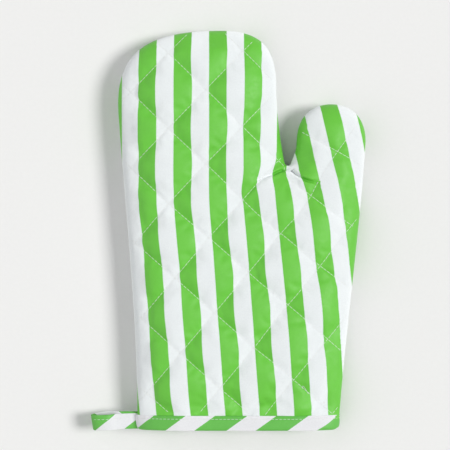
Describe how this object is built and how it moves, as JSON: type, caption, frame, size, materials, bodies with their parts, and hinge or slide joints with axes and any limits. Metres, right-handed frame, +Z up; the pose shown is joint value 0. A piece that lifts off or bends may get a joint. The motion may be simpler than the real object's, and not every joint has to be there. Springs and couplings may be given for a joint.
{
  "type": "oven mitt",
  "caption": "Quilted fabric oven mitt with a thumb, a lined and padded hand cavity, a bound cuff and a hanging loop sewn to the cuff's side.",
  "frame": {"origin": "middle of the mitt's footprint, with the loop, on the surface that it lies on", "axes": "+Z up, +Y from the cuff towards the fingertips, +X towards the thumb's side"},
  "size_m": [0.2026, 0.2906, 0.0351],
  "materials": {
    "face_cloth": "matte woven cotton, green and white stripes, diamond quilting in pale thread",
    "wadding": "soft white polyester and cotton wadding",
    "lining": "matte plain white cotton",
    "binding": "matte bias-cut striped cotton, topstitched in white thread"
  },
  "bodies": {
    "mitt": {"front_face_cloth": "face_cloth", "front_wadding": "wadding", "front_lining": "lining", "back_face_cloth": "face_cloth", "back_wadding": "wadding", "back_lining": "lining", "cuff_binding": "binding"},
    "loop": {"hanging_loop": "binding"}
  },
  "joints": [
    {"name": "loop_swing", "type": "hinge", "parent": "mitt", "child": "loop", "pos_m": [-0.06829, -0.13996, 0.014], "axis": [0, 1, 0], "range_deg": [-90, 90], "stiffness_Nm_per_rad": 0.002}
  ]
}
